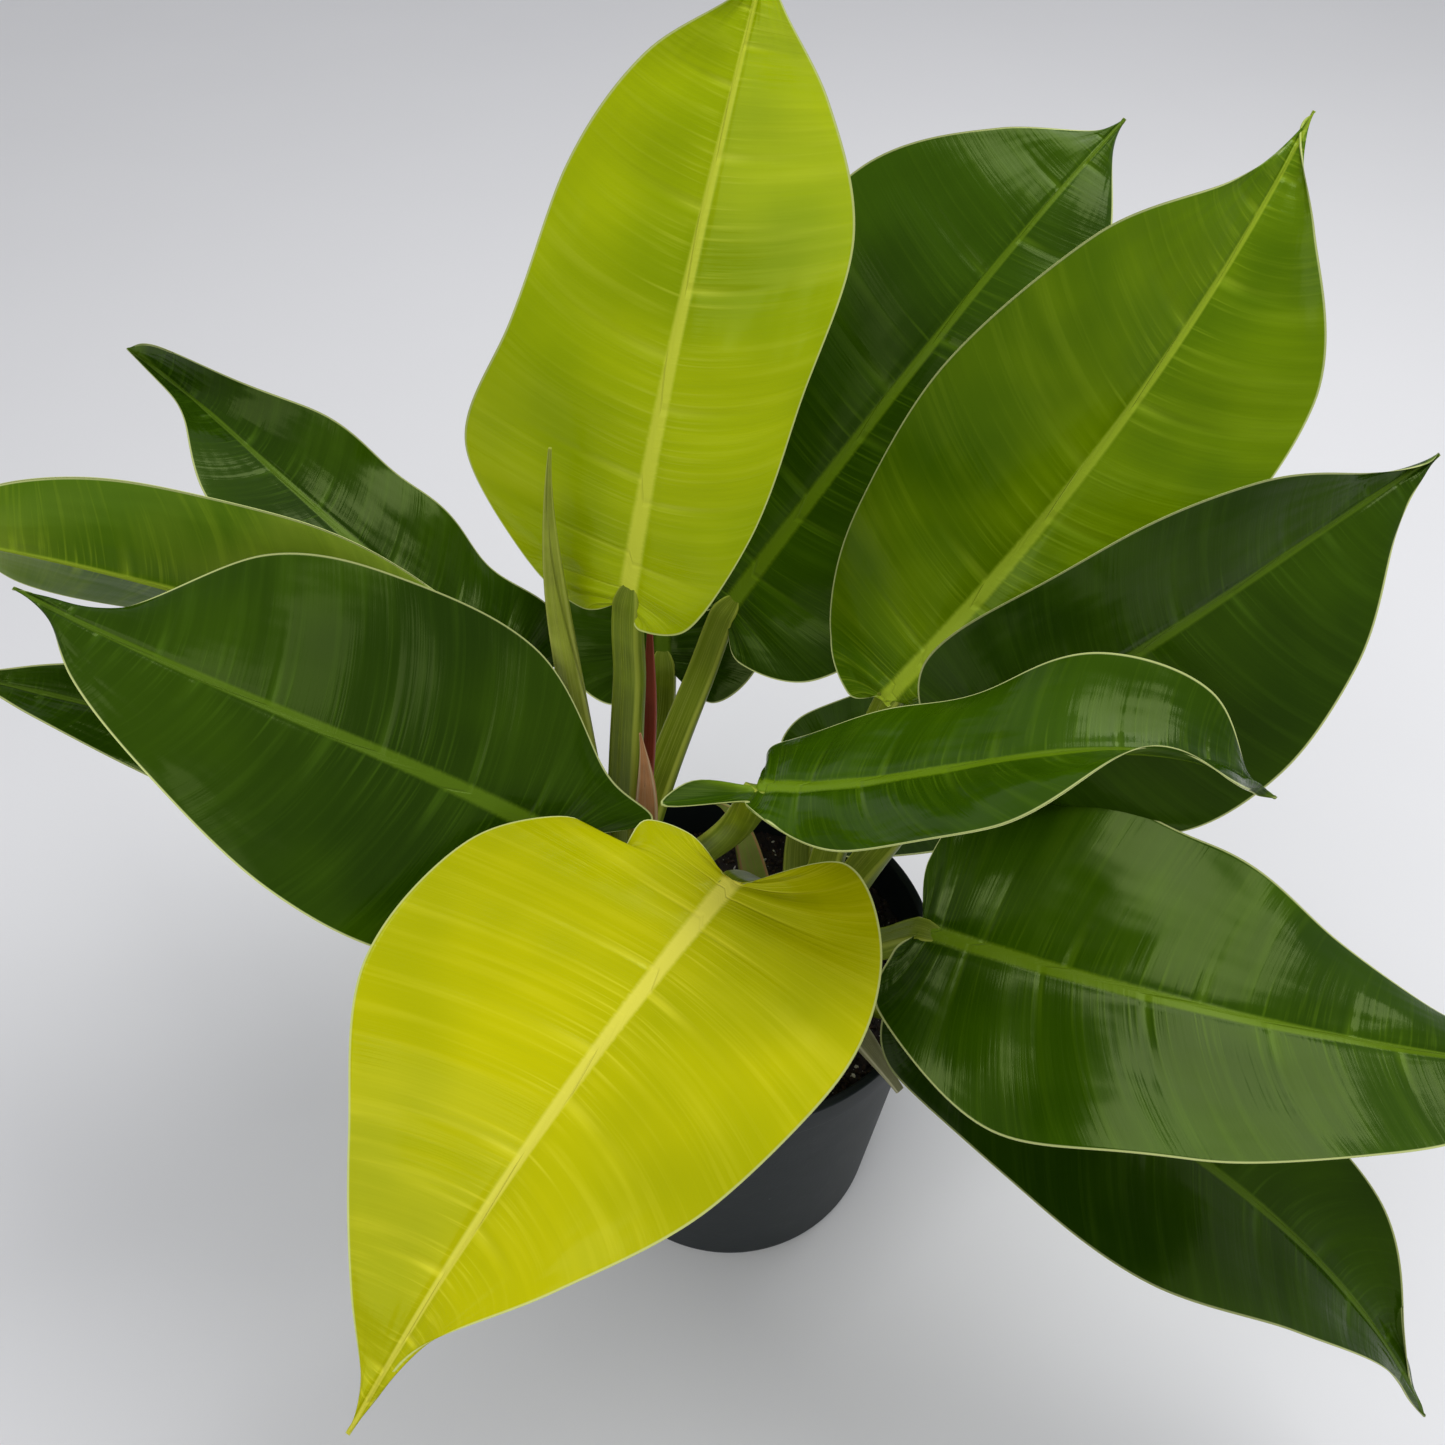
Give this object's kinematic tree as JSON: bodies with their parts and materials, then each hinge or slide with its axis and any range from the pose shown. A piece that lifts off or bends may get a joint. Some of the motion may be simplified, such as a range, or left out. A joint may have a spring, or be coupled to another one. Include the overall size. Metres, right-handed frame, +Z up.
{
  "type": "potted philodendron",
  "caption": "Clump-forming potted philodendron: upright yellow, lime and dark green heart-shaped leaves on petioles, in a round tapered nursery pot of potting mix",
  "frame": {"origin": "centre of the flat underside of the pot, on the ground", "axes": "+Z up, the pot's axis; +Y away from the side that the front yellow leaf hangs over; +X to the right"},
  "size_m": [0.5124, 0.4052, 0.44],
  "materials": {
    "pot": "matte dark green moulded plastic",
    "potting_mix": "rough dark fibrous mix with pale specks",
    "crown": "satin green stem scarred by old leaf bases",
    "new_shoot": "satin yellow-green",
    "maroon_sheath": "satin maroon",
    "dry_sheath": "dry tan, papery",
    "petiole": "satin olive green",
    "yellow_leaf": "glossy yellow, pale midrib",
    "lime_leaf": "glossy lime, pale midrib",
    "fresh_leaf": "glossy bright green, pale midrib",
    "green_leaf": "glossy mid green",
    "dark_leaf": "glossy dark green, lighter midrib"
  },
  "bodies": {
    "root": {"pot": "pot", "potting_mix": "potting_mix", "left_crown": "crown", "right_crown": "crown", "rolled_leaf": "new_shoot", "tall_sheath": "maroon_sheath", "pointed_sheath": "dry_sheath", "hooked_sheath": "new_shoot", "low_sheath": "dry_sheath", "rim_sheath": "petiole", "tall_lime_petiole": "petiole", "tall_lime_blade": "lime_leaf", "front_yellow_petiole": "petiole", "front_yellow_blade": "yellow_leaf", "right_lime_petiole": "petiole", "right_lime_blade": "fresh_leaf", "back_right_petiole": "petiole", "back_right_blade": "green_leaf", "right_dark_petiole": "petiole", "right_dark_blade": "dark_leaf", "right_centre_petiole": "petiole", "right_centre_blade": "green_leaf", "lower_right_petiole": "petiole", "lower_right_blade": "green_leaf", "lowest_right_petiole": "petiole", "lowest_right_blade": "dark_leaf", "left_dark_petiole": "petiole", "left_dark_blade": "dark_leaf", "far_left_young_petiole": "petiole", "far_left_young_blade": "fresh_leaf", "back_left_petiole": "petiole", "back_left_blade": "dark_leaf", "low_left_petiole": "petiole", "low_left_blade": "dark_leaf", "back_centre_petiole": "petiole", "back_centre_blade": "dark_leaf", "low_back_right_petiole": "petiole", "low_back_right_blade": "dark_leaf"}
  },
  "joints": []
}
